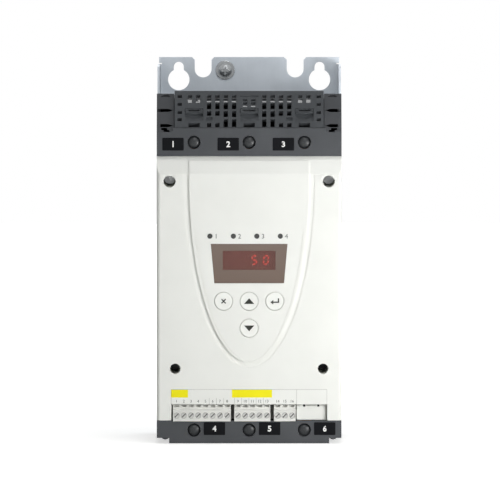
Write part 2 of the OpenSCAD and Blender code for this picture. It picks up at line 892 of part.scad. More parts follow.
module line_busbars() { busbars(line_axis_z, 1, module_z1 - bar_lap, bar_screws_z[1]); }
module load_busbars() { busbars(load_axis_z, -1, module_z0 + bar_lap, bar_screws_z[0]); }

module busbar_screws() {
    color("#B5B9BC")
        for (p = phases, z = bar_screws_z)
            pan_screw(p * phase_pitch, z, bar_rear_y - bar_t, bar_t + bar_screw_grip);
}

module clamps(axis_z) {
    half = clamp_w / 2;
    color("#C0C3C4")
        for (p = phases) translate([p * phase_pitch, 0, axis_z]) difference() {
            block([-half, clamp_y, -clamp_h / 2], [half, clamp_rear_y, clamp_h / 2]);
            block([clamp_wall - half, clamp_in_y, -clamp_h],
                  [half - clamp_wall, clamp_rear_y - clamp_wall, clamp_h]);
            rod_y(0, 0, clamp_screw_d + 2 * screw_clear, clamp_y - cut, clamp_in_y + cut);
        }
}

module line_clamps() { clamps(line_axis_z); }
module load_clamps() { clamps(load_axis_z); }

// Domed screws whose heads fill the access holes
module clamp_screws(axis_z) {
    head_y = shroud_y + clamp_head_sink;
    dome_r = dome_radius(clamp_head_d, clamp_dome_h);
    tip_y = clamp_rear_y - clamp_wall - bar_t - clamp_tip_gap;
    color("#46494B")
        for (p = phases) translate([p * phase_pitch, 0, axis_z]) {
            intersection() {
                rod_y(0, 0, clamp_head_d, head_y, clamp_y);
                translate([0, head_y + dome_r, 0]) sphere(dome_r);
            }
            rod_y(0, 0, clamp_screw_d, clamp_y - cut, tip_y);
        }
}

module line_clamp_screws() { clamp_screws(line_axis_z); }
module load_clamp_screws() { clamp_screws(load_axis_z); }

module power_board() {
    color("#2C5B3A") difference() {
        block([-power_board_half_w, power_board_y, pillar_z[0] - power_board_margin],
              [power_board_half_w, power_board_y + board_t, pillar_z[1] + power_board_margin]);
        for (s = [-1, 1], z = pillar_z)
            rod_y(s * pillar_x, z, bore_d, power_board_y - cut, power_board_y + board_t + cut);
    }
}

module power_board_standoffs() {
    color("#C6A15A") difference() {
        for (s = [-1, 1], z = pillar_z)
            rod_y(s * pillar_x, z, pillar_d, power_board_y + board_t, floor_y);
        for (s = [-1, 1], z = pillar_z)
            rod_y(s * pillar_x, z, bore_d, power_board_y, power_board_y + board_t + tap_depth + cut);
    }
}

module power_board_screws() {
    color("#B5B9BC")
        for (s = [-1, 1], z = pillar_z)
            pan_screw(s * pillar_x, z, power_board_y, board_t + tap_depth);
}

// Terminal shrouds

// Side profile of a wing, set in by a wall and run past its open sides
function wing_profile(inset, past) =
    let (
        start_z = wing_z0 - inset / cos(slope_angle),
        top_z = wing_z1 - inset,
        face_y = shroud_y + inset
    )
    [
        [shroud_end_y + past, shroud_z0 - past],
        [face_y, shroud_z0 - past],
        [face_y, start_z + inset * tan(slope_angle)],
        [slope_y(start_z, top_z), top_z],
        [shroud_end_y + past, wing_rear_z - inset]
    ];

// A slot across a wing that narrows to a point towards the grille
module wing_slot(s, z, end_gap) {
    x_in = wing_gap_x + wing_slot_in;
    x_out = unit_w / 2 - end_gap;
    half = wing_slot_h / 2;
    along_y(shroud_y - cut, slope_y(wing_z0, z) + wing_slot_depth) to_side(s) polygon([
        [x_in, z], [x_in + wing_slot_taper, z + half], [x_out, z + half],
        [x_out, z - half], [x_in + wing_slot_taper, z - half]
    ]);
}

// An arched pocket under the top edge of a wing
module wing_eye(s) {
    r = (pow(wing_eye_w / 2, 2) + pow(wing_eye_h, 2)) / (2 * wing_eye_h);
    z = wing_z1 - wing_eye_drop - wing_eye_h;
    along_y(shroud_y - cut, slope_y(wing_z0, z) + wing_eye_depth)
        to_side(s) translate([unit_w / 2 - wing_eye_inset, z]) intersection() {
            translate([0, wing_eye_h - r]) circle(r);
            translate([-wing_eye_w / 2, 0]) square([wing_eye_w, wing_eye_h]);
        }
}

// Two offset windows that show the hook of the side clip
module clip_notch(s) {
    z = shroud_z0 + clip_rise;
    along_y(shroud_y - cut, shroud_in_y + slope_run) to_side(s) {
        translate([clip_x, z]) square([clip_w, clip_h]);
        translate([clip_x - clip_shift, z - clip_h + clip_lap]) square([clip_w, clip_h]);
    }
}

module upper_terminal_cover() {
    wing_w = unit_w / 2 - wing_gap_x;
    wing_x = wing_gap_x + wing_w / 2;
    hollow_w = wing_w - wall - cheek_t;
    hollow_x = wing_gap_x + cheek_t + hollow_w / 2;
    color("#54575A") difference() {
        union() {
            for (s = [-1, 1]) difference() {
                translate([s * wing_x, 0, 0]) along_x(wing_w) polygon(wing_profile(0, 0));
                translate([s * hollow_x, 0, 0]) along_x(hollow_w) polygon(wing_profile(wall, cut));
            }
            block([-wing_gap_x - cheek_t / 2, shroud_y, shroud_z0],
                  [wing_gap_x + cheek_t / 2, shroud_in_y, face_top_z]);
        }
        for (p = phases)
            rod_y(p * phase_pitch, line_axis_z, access_d, shroud_y - cut, shroud_in_y + cut);
        for (s = [-1, 1]) {
            for (i = [0, 1])
                wing_slot(s, shroud_z0 + wing_slots_h[i], wing_slot_ends[i]);
            wing_eye(s);
            clip_notch(s);
        }
    }
}

// Places cuts on the grille: X across, Y up the slope, Z out of its face
module on_slope() {
    translate([0, shroud_y, slope_z0]) rotate([slope_angle, 0, 0]) children();
}

// A square cut into the slope over a row of heights
module slope_cut(x, row, w, depth) {
    on_slope() block([x - w / 2, row[0], -depth], [x + w / 2, row[1], cut]);
}

// A sill that ramps down into the grille towards the hole above it
module sill_cut(x, row) {
    on_slope() translate([x, 0, 0]) along_x(grille_hole_w)
        polygon([[row[0], 0], [row[1], -sill_d], [row[1], cut], [row[0], cut]]);
}

module grille_column(side, column) {
    x = side * (grille_group_x + column * grille_pitch);
    inner = column < 0;
    through = grille_t + cut;
    slope_cut(x, row_top, grille_hole_w, through);
    sill_cut(x, sill_row);
    slope_cut(x, row_mid, grille_hole_w, through);
    slope_cut(x, inner ? row_low_inner : row_low_outer, grille_hole_w, through);
    slope_cut(x, inner ? row_foot_inner : row_foot_outer, grille_hole_w, through);
    if (column == max(group_columns))
        slope_cut(x, patch_row, patch_w, patch_d);
}

// A break-out bay: a shallow field with a slot, a thumb dish below it and a slot at the foot
module bay_cut(p) {
    x = p * phase_pitch;
    through = grille_t + cut;
    slope_cut(x, bay_row, bay_w, bay_d);
    slope_cut(x, bay_slot_row, bay_slot_w, through);
    slope_cut(x, row_foot_outer, bay_foot_w, through);
    on_slope() translate([x, 0, -bay_dish_d]) linear_extrude(bay_dish_d + cut) intersection() {
        translate([-bay_dish_w / 2, bay_dish_row[0]])
            square([bay_dish_w, bay_dish_row[1] - bay_dish_row[0]]);
        translate([0, bay_dish_row[0] + bay_dish_r]) circle(bay_dish_r);
    }
    for (s = [-1, 1]) {
        slope_cut(x + s * bay_window_x, p == 0 ? bay_eye_row : bay_window_row, grille_hole_w, through);
        sill_cut(x + s * bay_window_x, p == 0 ? bay_low_row : bay_sill_row);
    }
    if (p == 0)
        slope_cut(x, bay_line_row, bay_w, bay_line_d);
}

// The lip under a bay's slot, with a hook turned up at each end
module bay_lip(p) {
    x = p * phase_pitch;
    half = bay_lip_w / 2;
    on_slope() {
        block([x - half, bay_lip_row[0], -grille_t / 2], [x + half, bay_lip_row[1], bay_lip_h]);
        for (end = [x - half, x + half - bay_hook_w])
            block([end, bay_hook_row[0], -grille_t / 2], [end + bay_hook_w, bay_hook_row[1], bay_lip_h]);
    }
}

module upper_grille() {
    inner_z = roof_z - grille_t;
    foot_y = shroud_y + grille_t / sin(slope_angle);
    color("#4C5053") union() {
        difference() {
            along_x(grille_w) polygon([
                [shroud_y, slope_z0], [slope_y(slope_z0, roof_z), roof_z],
                [roof_end_y, roof_rear_z], [roof_end_y, roof_rear_z - grille_t],
                [foot_y + (inner_z - slope_z0) / tan(slope_angle), inner_z], [foot_y, slope_z0]
            ]);
            for (side = [-1, 1], column = group_columns)
                grille_column(side, column);
            for (side = [-1, 1], row = outer_rows)
                slope_cut(side * grille_outer_x, row, grille_hole_w, grille_t + cut);
            for (p = phases)
                bay_cut(p);
        }
        for (p = phases)
            bay_lip(p);
    }
}

// Front outline of the lower shroud, set in by a wall and run past its open top
module lower_outline(inset, past) {
    half = unit_w / 2 - inset;
    foot = foot_half_w - inset;
    polygon([
        [-half, lower_shroud_z1 + past], [-half, foot_h + inset], [-foot, foot_h + inset], [-foot, inset],
        [foot, inset], [foot, foot_h + inset], [half, foot_h + inset], [half, lower_shroud_z1 + past]
    ]);
}

module lower_terminal_cover() {
    color("#54575A") difference() {
        union() {
            difference() {
                along_y(shroud_y, shroud_end_y) lower_outline(0, 0);
                along_y(shroud_in_y, shroud_end_y + cut) lower_outline(wall, cut);
            }
            for (s = [-1, 1])
                rod_y(s * lug_x, foot_h + lug_r - lug_drop, 2 * lug_r, shroud_y + cut, shroud_y + lug_l);
        }
        for (p = phases) {
            rod_y(p * phase_pitch, load_axis_z, access_d, shroud_y - cut, shroud_in_y + cut);
            block([p * phase_pitch - knockout_w / 2, clamp_y, -cut],
                  [p * phase_pitch + knockout_w / 2, clamp_y + knockout_l, knockout_d]);
        }
        for (row = block_rows)
            block([row[0] - fit_gap, shroud_y - cut, block_z0 - fit_gap],
                  [row[0] + row[1] * pole_pitch + fit_gap, shroud_in_y + cut, lower_shroud_z1 + cut]);
    }
}

// Front cover

// Side profile of the front cover, with its face moved back by set_back
function cover_profile(set_back, inset, past) = [
    [shroud_end_y + past, cover_z0 + inset],
    [cover_y + set_back, cover_z0 + inset],
    [cover_y + set_back, brow_z],
    [cover_y + set_back + brow_lean, cover_z1 - inset],
    [shroud_end_y + past, cover_z1 - inset]
];

// Outline seen from above, with the two front edges rounded
module cover_outline(half, y0, r) {
    end_y = housing_y + cut;
    translate([-half, y0 + r]) square([2 * half, end_y - y0 - r]);
    translate([r - half, y0]) square([2 * (half - r), end_y - y0]);
    for (s = [-1, 1])
        translate([s * (half - r), y0 + r]) circle(r);
}

module cover_body(set_back, inset, past) {
    half = unit_w / 2 - inset;
    intersection() {
        along_x(unit_w) polygon(cover_profile(set_back, inset, past));
        linear_extrude(plate_h) cover_outline(half, cover_y + set_back, edge_r);
    }
}

// Outline of the shield, set in by one amount at its sides and top and by another at its tip
module shield_outline(inset, tip_inset) {
    half = shield_half_w - inset;
    top_z = shield_top_z - inset;
    polygon(concat(shield_arc(inset, tip_inset), [[half, top_z], [-half, top_z]]));
}

module window_outline(grow) {
    top = window_top_w / 2 + grow;
    bottom = window_bottom_w / 2 + grow;
    polygon([
        [-bottom, window_z0 - grow], [bottom, window_z0 - grow],
        [top, window_z1 + grow], [-top, window_z1 + grow]
    ]);
}

// Moat that follows the shield's edge
module shield_moat() {
    along_y(front_y - cut, cover_y + moat_d) difference() {
        intersection() {
            shield_outline(-moat_w, -moat_w);
            translate([-unit_w / 2, 0]) square([unit_w, panel_line_z]);
        }
        shield_outline(0, 0);
    }
}

// Fine line from the moat to each side, below the leaning band
module panel_lines() {
    line_x = shield_half_w + moat_w;
    for (s = [-1, 1])
        along_y(front_y - cut, cover_y + panel_line_d) to_side(s)
            translate([line_x - cut, panel_line_z - panel_line_w])
                square([unit_w / 2 + 2 * cut - line_x, panel_line_w]);
}

// Sloped wall at each end of the control recess
module recess_cheeks() {
    end_y = cover_in_y + recess_cheek_d;
    outer_x = recess_half_w + wall;
    for (s = [-1, 1])
        translate([0, 0, cover_z0]) linear_extrude(recess_top_z + wall - cover_z0) to_side(s) polygon([
            [recess_half_w, cover_y], [recess_half_w - recess_cheek_lean, end_y],
            [outer_x, end_y], [outer_x, cover_y]
        ]);
}

module front_cover() {
    color("#ECEDE8") union() {
        recess_cheeks();
        difference() {
            union() {
                difference() {
                    union() {
                        difference() {
                            cover_body(0, 0, 0);
                            shield_moat();
                            panel_lines();
                        }
                        intersection() {
                            cover_body(-shield_rise, 0, 0);
                            along_y(front_y - cut, cover_in_y + brow_lean) shield_outline(0, 0);
                        }
                    }
                    cover_body(wall, wall, cut);
                }
                for (spot = cover_screw_spots, s = [-1, 1])
                    rod_y(s * spot[0], spot[1], spot[2] + 2 * boss_wall, cover_y + wall / 2, tower_y);
                for (s = [-1, 1], z = board_boss_z)
                    rod_y(s * board_boss_x, z, board_boss_d, cover_y + wall / 2, board_y);
            }
            along_y(front_y - cut, front_y + shield_line_d) intersection() {
                difference() {
                    shield_outline(shield_line_inset, shield_line_tip);
                    shield_outline(shield_line_inset + shield_line_w, shield_line_tip + shield_line_w);
                }
                translate([-shield_half_w, 0]) square([2 * shield_half_w, shield_line_top_z]);
            }
            for (spot = cover_screw_spots, s = [-1, 1]) {
                rod_y(s * spot[0], spot[1], spot[2], front_y - cut, hole_end_y);
                rod_y(s * spot[0], spot[1], bore_d, hole_end_y - cut, tower_y + cut);
            }
            for (s = [-1, 1], z = board_boss_z)
                rod_y(s * board_boss_x, z, bore_d, board_y - tap_depth - cut, board_y + cut);
            along_y(front_y - cut, cover_in_y + cut) window_outline(0);
            for (key = keys)
                rod_y(key[1], key[2], key_d + 2 * fit_gap, front_y - cut, cover_in_y + cut);
            for (i = [0 : led_count - 1])
                rod_y(led_x(i), led_z, led_d + fit_gap, front_y - cut, cover_in_y + cut);
            block([-recess_half_w, front_y - cut, cover_z0 - cut],
                  [recess_half_w, board_y + board_t + recess_past_board, recess_top_z]);
        }
    }
}

module cover_screws(spot) {
    color("#8C9093")
        for (s = [-1, 1]) {
            rod_y(s * spot[0], spot[1], spot[2] - 2 * cover_head_clear,
                  hole_end_y - cover_head_h, hole_end_y);
            rod_y(s * spot[0], spot[1], screw_d, hole_end_y - cut, tower_y + cover_screw_grip);
        }
}

module upper_cover_screws() { cover_screws(cover_screw_spots[0]); }
module lower_cover_screws() { cover_screws(cover_screw_spots[1]); }

// Controls

module control_board() {
    color("#2C5B3A") difference() {
        along_y(board_y, board_y + board_t) polygon([
            [-board_foot_half_w, board_z0], [board_foot_half_w, board_z0],
            [board_foot_half_w, board_foot_z1], [board_half_w, board_foot_z1],
            [board_half_w, board_z1], [-board_half_w, board_z1],
            [-board_half_w, board_foot_z1], [-board_foot_half_w, board_foot_z1]
        ]);
        for (s = [-1, 1], z = board_boss_z)
            rod_y(s * board_boss_x, z, bore_d, board_y - cut, board_y + board_t + cut);
    }
}

module control_board_screws() {
    seat_y = board_y + board_t;
    color("#B5B9BC")
        for (s = [-1, 1], z = board_boss_z) {
            rod_y(s * board_boss_x, z, pan_head_d, seat_y, seat_y + pan_head_h);
            rod_y(s * board_boss_x, z, screw_d, board_y - tap_depth, seat_y + cut);
        }
}

module display_module() {
    color("#3A2524")
        block([-display_w / 2, board_y - display_d, display_z - display_h / 2],
              [display_w / 2, board_y, display_z + display_h / 2]);
}

module display_window() {
    color("#7C6C66") union() {
        along_y(front_y + window_sink, cover_in_y + window_rim_t) window_outline(-window_clear);
        along_y(cover_in_y, cover_in_y + window_rim_t) window_outline(window_rim);
    }
}

module led_light_pipes() {
    color("#4A4A48")
        for (i = [0 : led_count - 1])
            rod_y(led_x(i), led_z, led_d, front_y + key_sink, board_y);
}

module key_switches() {
    color("#2A2C2E")
        for (key = keys) {
            block([key[1] - switch_w / 2, board_y - switch_h, key[2] - switch_w / 2],
                  [key[1] + switch_w / 2, board_y, key[2] + switch_w / 2]);
            rod_y(key[1], key[2], switch_tip_d, switch_y, board_y - switch_h / 2);
        }
}

// A push key: chamfered cap, retaining lip behind the cover and a stem towards its switch
module push_key(key) {
    key_y = front_y + key_sink;
    lip_h = cover_in_y + fit_gap - key_y;
    end_h = switch_y - key_travel - fit_gap - key_y;
    r = key_d / 2;
    color("#E4E5E0") translate([key[1], key_y, key[2]]) rotate([-90, 0, 0]) rotate_extrude() polygon([
        [0, 0], [r - key_chamfer, 0], [r, key_chamfer], [r, lip_h], [r + key_lip, lip_h],
        [r + key_lip, lip_h + key_lip_t], [key_stem_d / 2, lip_h + key_lip_t],
        [key_stem_d / 2, end_h], [0, end_h]
    ]);
}

module key_escape() { push_key(keys[0]); }
module key_up() { push_key(keys[1]); }
module key_enter() { push_key(keys[2]); }
module key_down() { push_key(keys[3]); }

// A terminal block: the front carries the screws, the step above it a test notch for each pole
module control_terminal(row) {
    w = row[1] * pole_pitch;
    top_z = block_z0 + block_h;
    step_y = block_y + block_step_back;
    step_z = recess_top_z - block_step_clear;
    color("#F4F4F0") difference() {
        translate([row[0] + w / 2, 0, 0]) along_x(w) polygon([
            [board_y, block_z0], [block_y, block_z0], [block_y, top_z - block_edge],
            [block_y + block_edge, top_z], [step_y, top_z], [step_y, step_z], [board_y, step_z]
        ]);
        for (i = [0 : row[1] - 1]) {
            x = pole_x(row, i);
            rod_y(x, control_axis_z, block_bore_d,
                  block_y - cut, block_y + control_screw_sink + control_screw_l);
            block([x - entry_w / 2, block_y + entry_set_back, block_z0 - cut],
                  [x + entry_w / 2, block_y + entry_set_back + entry_w, block_z0 + entry_h]);
            block([x - notch_w / 2, step_y - cut, step_z - notch_h],
                  [x + notch_w / 2, step_y + notch_d, step_z + cut]);
        }
    }
}

module control_terminal_8() { control_terminal(block_rows[0]); }
module control_terminal_5() { control_terminal(block_rows[1]); }
module control_terminal_3() { control_terminal(block_rows[2]); }

// A slotted screw in each pole
module control_terminal_screws() {
    head_y = block_y + control_screw_sink;
    color("#AEB1B2")
        for (row = block_rows, i = [0 : row[1] - 1]) difference() {
            rod_y(pole_x(row, i), control_axis_z, control_screw_d, head_y, head_y + control_screw_l);
            translate([pole_x(row, i), head_y, control_axis_z]) rotate([0, -control_slot_turn, 0])
                cube([2 * control_screw_d, 2 * control_slot_d, control_slot_w], center = true);
        }
}

module network_jack() {
    color("#3B3D3F") difference() {
        block([port_x - jack_w / 2, jack_y, port_z0], [port_x + jack_w / 2, board_y, port_z0 + jack_h]);
        block([port_x - jack_mouth_w / 2, jack_y - cut, port_z0 + jack_wall],
              [port_x + jack_mouth_w / 2, board_y - jack_wall, port_z0 + jack_wall + jack_mouth_h]);
    }
}

// Dust cover with a flange behind its face and a plug that sits in the network socket
module port_cover() {
    plug_half_w = jack_mouth_w / 2 - fit_gap;
    plug_z0 = port_z0 + jack_wall + fit_gap;
    top_z = port_z0 + port_h;
    color("#E3E4DF") difference() {
        union() {
            block([port_x0, jack_y - port_t, port_z0], [port_x1, jack_y, top_z]);
            block([port_x0, jack_y - port_t / 2, lower_shroud_z1 + fit_gap],
                  [port_x1, jack_y, recess_top_z - fit_gap]);
            block([port_x - plug_half_w, jack_y - port_t / 2, plug_z0],
                  [port_x + plug_half_w, jack_y + port_plug_l, plug_z0 + jack_mouth_h - 2 * fit_gap]);
        }
        for (s = [-1, 1])
            translate([port_x + s * port_mark_x, 0, top_z])
                block([-port_mark_w / 2, jack_y - port_t - cut, -port_mark_h],
                      [port_mark_w / 2, jack_y + cut, cut]);
    }
}

back_plate();
plate_screws();
heat_sink();
earth_screw();
earth_washer();
base_housing();
housing_screws();
thyristor_module_1();
thyristor_module_2();
thyristor_module_3();
module_screws();
bypass_relay_1();
bypass_relay_2();
bypass_relay_3();
current_transformer_1();
current_transformer_2();
current_transformer_3();
line_busbars();
load_busbars();
busbar_screws();
line_clamps();
load_clamps();
line_clamp_screws();
load_clamp_screws();
power_board();
power_board_standoffs();
power_board_screws();
upper_terminal_cover();
upper_grille();
lower_terminal_cover();
front_cover();
upper_cover_screws();
lower_cover_screws();
control_board();
control_board_screws();
display_module();
display_window();
led_light_pipes();
key_switches();
key_escape();
key_up();
key_enter();
key_down();
control_terminal_8();
control_terminal_5();
control_terminal_3();
control_terminal_screws();
network_jack();
port_cover();
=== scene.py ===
import math

import bmesh
import bpy
from mathutils import Matrix, Vector


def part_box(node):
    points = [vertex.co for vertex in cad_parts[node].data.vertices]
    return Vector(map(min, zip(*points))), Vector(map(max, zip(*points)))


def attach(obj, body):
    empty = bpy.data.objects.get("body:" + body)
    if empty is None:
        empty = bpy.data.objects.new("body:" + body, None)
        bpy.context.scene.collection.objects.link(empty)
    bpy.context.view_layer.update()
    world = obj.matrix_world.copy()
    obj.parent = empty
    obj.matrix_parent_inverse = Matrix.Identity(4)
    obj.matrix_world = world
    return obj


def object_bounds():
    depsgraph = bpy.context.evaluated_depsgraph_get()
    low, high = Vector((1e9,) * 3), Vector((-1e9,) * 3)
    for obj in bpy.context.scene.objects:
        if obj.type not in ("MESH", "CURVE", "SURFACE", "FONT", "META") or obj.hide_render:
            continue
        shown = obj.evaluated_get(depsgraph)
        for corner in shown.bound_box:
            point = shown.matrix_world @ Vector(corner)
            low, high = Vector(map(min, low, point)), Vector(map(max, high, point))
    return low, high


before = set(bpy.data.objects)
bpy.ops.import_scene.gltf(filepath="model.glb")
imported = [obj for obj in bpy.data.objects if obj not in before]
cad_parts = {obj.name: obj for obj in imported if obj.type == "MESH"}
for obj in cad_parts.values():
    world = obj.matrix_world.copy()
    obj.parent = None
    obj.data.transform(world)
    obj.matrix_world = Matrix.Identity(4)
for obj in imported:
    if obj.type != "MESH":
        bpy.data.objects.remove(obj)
cad_low, cad_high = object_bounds()

# Studio: a pale paper floor and a white surround, lit by soft lamps from the right, from above,
# from the front and from behind. The camera stands far off with a long lens, a little above the
# unit, as in a catalogue picture.
CAMERA_DISTANCE = 15.0
CAMERA_ELEVATION = math.radians(2.95)
PICTURE_WIDTH = 0.3516
SENSOR_WIDTH = 36.0
CAMERA_TARGET = Vector((0.0006, cad_low.y, 0.1363))
CAMERA_REACH = 60.0
AMBIENT_LEVEL = 0.19


def linear(code):
    """Turns an sRGB hex colour into linear red, green, blue and alpha."""
    parts = [int(code[i:i + 2], 16) / 255 for i in (1, 3, 5)]
    return [c / 12.92 if c <= 0.04045 else ((c + 0.055) / 1.055) ** 2.4 for c in parts] + [1.0]


def add(tree, kind, sockets=None, **settings):
    """Adds a shader node with its settings, and fills or links its sockets."""
    new = tree.nodes.new("ShaderNode" + kind)
    for name, value in settings.items():
        setattr(new, name, value)
    for name, value in (sockets or {}).items():
        if isinstance(value, bpy.types.NodeSocket):
            tree.links.new(value, new.inputs[name])
        else:
            new.inputs[name].default_value = value
    return new


def empty_tree(owner):
    """Gives a material or world a node tree with nothing in it."""
    owner.use_nodes = True
    owner.node_tree.nodes.clear()
    return owner.node_tree


def background_rays(tree):
    """Returns 1 for the rays that see the white surround: camera, glossy and transmitted ones."""
    path = add(tree, "LightPath")
    seen = add(tree, "Math", {0: path.outputs["Is Camera Ray"], 1: path.outputs["Is Glossy Ray"]},
               operation="MAXIMUM")
    seen = add(tree, "Math", {0: seen.outputs[0], 1: path.outputs["Is Transmission Ray"]},
               operation="MAXIMUM")
    return seen.outputs[0]


world = bpy.data.worlds.new("white_surround")
bpy.context.scene.world = world
tree = empty_tree(world)
ambient = add(tree, "Background", {"Color": linear("#F4F6F8"), "Strength": AMBIENT_LEVEL})
surround = add(tree, "Background", {"Color": linear("#FFFFFF"), "Strength": 1.0})
shown = add(tree, "MixShader", {0: background_rays(tree), 1: ambient.outputs[0],
                                2: surround.outputs[0]})
add(tree, "OutputWorld", {"Surface": shown.outputs[0]})

FLOOR_HALF = 3.0
FLOOR_DROP = 0.0002
# The floor glows less near the unit, so that its shadow stays
SHADOW_NEAR, SHADOW_FAR = 0.12, 0.45
GLOW_NEAR, GLOW_FAR = 0.6, 1.0
floor_mesh = bpy.data.meshes.new("studio_floor")
floor_mesh.from_pydata(
    [(x * FLOOR_HALF, y * FLOOR_HALF, -FLOOR_DROP)
     for x, y in ((-1, -1), (1, -1), (1, 1), (-1, 1))],
    [], [(0, 1, 2, 3)])
floor = bpy.data.objects.new("studio_floor", floor_mesh)
bpy.context.collection.objects.link(floor)
floor_paper = bpy.data.materials.new("white_paper_sweep")
tree = empty_tree(floor_paper)
matte = add(tree, "BsdfDiffuse", {"Color": linear("#EDEDEB")})
reach = add(tree, "VectorMath", {0: add(tree, "TexCoord").outputs["Object"]}, operation="LENGTH")
fade = add(tree, "MapRange", {"Value": reach.outputs["Value"],
                              "From Min": SHADOW_NEAR, "From Max": SHADOW_FAR,
                              "To Min": GLOW_NEAR, "To Max": GLOW_FAR})
glow = add(tree, "Emission", {"Color": linear("#FFFFFF"), "Strength": fade.outputs[0]})
lit = add(tree, "AddShader", {0: matte.outputs[0], 1: glow.outputs[0]})
paper = add(tree, "MixShader", {0: background_rays(tree), 1: matte.outputs[0], 2: lit.outputs[0]})
add(tree, "OutputMaterial", {"Surface": paper.outputs[0]})
floor_mesh.materials.append(floor_paper)

# Each lamp: name, place, edge length and power
LAMPS = [
    ("right_softbox", (0.34, -0.45, 0.12), 0.2, 1.5),
    ("overhead_softbox", (0.2, -1.2, 1.3), 0.6, 5.6),
    ("front_fill", (0.6, -2.4, 0.8), 1.4, 3.0),
    ("rear_fill", (0.0, 1.6, 1.9), 1.6, 16.0),
]
for name, place, size, power in LAMPS:
    lamp = bpy.data.lights.new(name, "AREA")
    lamp.size = size
    lamp.energy = power
    holder = bpy.data.objects.new(name, lamp)
    holder.location = place
    holder.rotation_mode = "QUATERNION"
    holder.rotation_quaternion = (CAMERA_TARGET - Vector(place)).to_track_quat("-Z", "Y")
    bpy.context.collection.objects.link(holder)

camera = bpy.data.objects.new("catalogue_camera", bpy.data.cameras.new("catalogue_camera"))
camera.data.sensor_width = SENSOR_WIDTH
camera.data.lens = SENSOR_WIDTH * CAMERA_DISTANCE / PICTURE_WIDTH
camera.data.clip_end = CAMERA_REACH
towards_camera = Vector((0, -math.cos(CAMERA_ELEVATION), math.sin(CAMERA_ELEVATION)))
camera.location = CAMERA_TARGET + towards_camera * CAMERA_DISTANCE
camera.rotation_mode = "QUATERNION"
camera.rotation_quaternion = (-towards_camera).to_track_quat("-Z", "Y")
bpy.context.collection.objects.link(camera)
bpy.context.scene.camera = camera
bpy.context.scene.view_settings.view_transform = "Standard"

# Back plate: zinc-plated steel sheet, punched and folded into a channel.
# Zinc gives a cool grey satin metal with soft rolling marks along the sheet and faint blotches.
WELD_REACH = 1e-6
EDGE_STEPS = 2
EDGE_ANGLE = math.radians(35)
# Handling dulls every metal here, so a quarter of it scatters light as paint does
METAL_SHARE = 0.75
POLISH_DOWN, POLISH_UP = 0.06, 0.08
BLOTCH = 0.022
ROLLING_MARK = 0.0016
ROLLING_STRETCH = (1, 1, 0.04)
ROLLING_DEPTH = 0.00002
ZINC_ROUGHNESS = (0.40, 0.52)


def dress(node_names, finish, edge_radius=None):
    """Gives CAD nodes a finish, and eases their sharp edges where a radius is stated."""
    for name in node_names:
        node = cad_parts[name]
        for slot in node.material_slots:
            slot.material = finish
        if edge_radius:
            weld = node.modifiers.new("joined_corners", "WELD")
            weld.merge_threshold = WELD_REACH
            bevel = node.modifiers.new("eased_edges", "BEVEL")
            bevel.width = edge_radius
            bevel.segments = EDGE_STEPS
            bevel.limit_method = "ANGLE"
            bevel.angle_limit = EDGE_ANGLE


def spots(tree, size, detail=2.0, stretch=(1, 1, 1)):
    """Noise over the object's own coordinates, with spots of a real size in metres."""
    place = add(tree, "TexCoord").outputs["Object"]
    place = add(tree, "Mapping", {"Vector": place, "Scale": stretch}).outputs[0]
    noise = add(tree, "TexNoise", {"Vector": place, "Scale": 1 / size, "Detail": detail})
    return noise.outputs["Fac"]


def between(tree, value, low, high, start=0.3, end=0.7):
    """Spreads a value that runs from start to end between two numbers."""
    return add(tree, "MapRange", {"Value": value, "From Min": start, "From Max": end,
                                  "To Min": low, "To Max": high}).outputs[0]


def two_tone(tree, share, dark, light):
    """Mixes two sRGB colours by a share from 0 to 1."""
    mix = add(tree, "Mix", {0: share, 6: linear(dark), 7: linear(light)}, data_type="RGBA")
    return mix.outputs[2]


def relief(tree, height, depth):
    """Bump from a pattern, with its depth in metres."""
    return add(tree, "Bump", {"Height": height, "Distance": depth, "Strength": 1.0}).outputs[0]


def metal(name, dark, light, rough, grain, stretch=(1, 1, 1)):
    """Metal whose colour and polish vary along grain marks of a real size."""
    finish = bpy.data.materials.new(name)
    tree = empty_tree(finish)
    marks = spots(tree, grain, stretch=stretch)
    surface = add(tree, "BsdfPrincipled", {
        "Base Color": two_tone(tree, between(tree, marks, 0.0, 1.0), dark, light),
        "Metallic": METAL_SHARE,
        "Roughness": between(tree, marks, rough - POLISH_DOWN, rough + POLISH_UP)})
    add(tree, "OutputMaterial", {"Surface": surface.outputs[0]})
    return finish


zinc = bpy.data.materials.new("zinc_plated_sheet")
tree = empty_tree(zinc)
blotches = between(tree, spots(tree, BLOTCH, detail=3.0), 0.0, 1.0)
rolling = spots(tree, ROLLING_MARK, stretch=ROLLING_STRETCH)
surface = add(tree, "BsdfPrincipled", {
    "Base Color": two_tone(tree, blotches, "#BEC5CC", "#CAD1D8"),
    "Metallic": METAL_SHARE,
    "Roughness": between(tree, rolling, *ZINC_ROUGHNESS),
    "Normal": relief(tree, rolling, ROLLING_DEPTH)})
add(tree, "OutputMaterial", {"Surface": surface.outputs[0]})
dress(["back_plate"], zinc)

# Heat sink: one aluminium extrusion with upright fins, screwed to the plate from behind.
# Mill finish shows fine die lines along the fins and a pale satin grey.
DIE_LINE = 0.0012
DIE_STRETCH = (1, 1, 0.02)
aluminium = metal("mill_finish_aluminium", "#A9ABAD", "#BFC1C3", 0.42, DIE_LINE, DIE_STRETCH)
dress(["heat_sink"], aluminium)

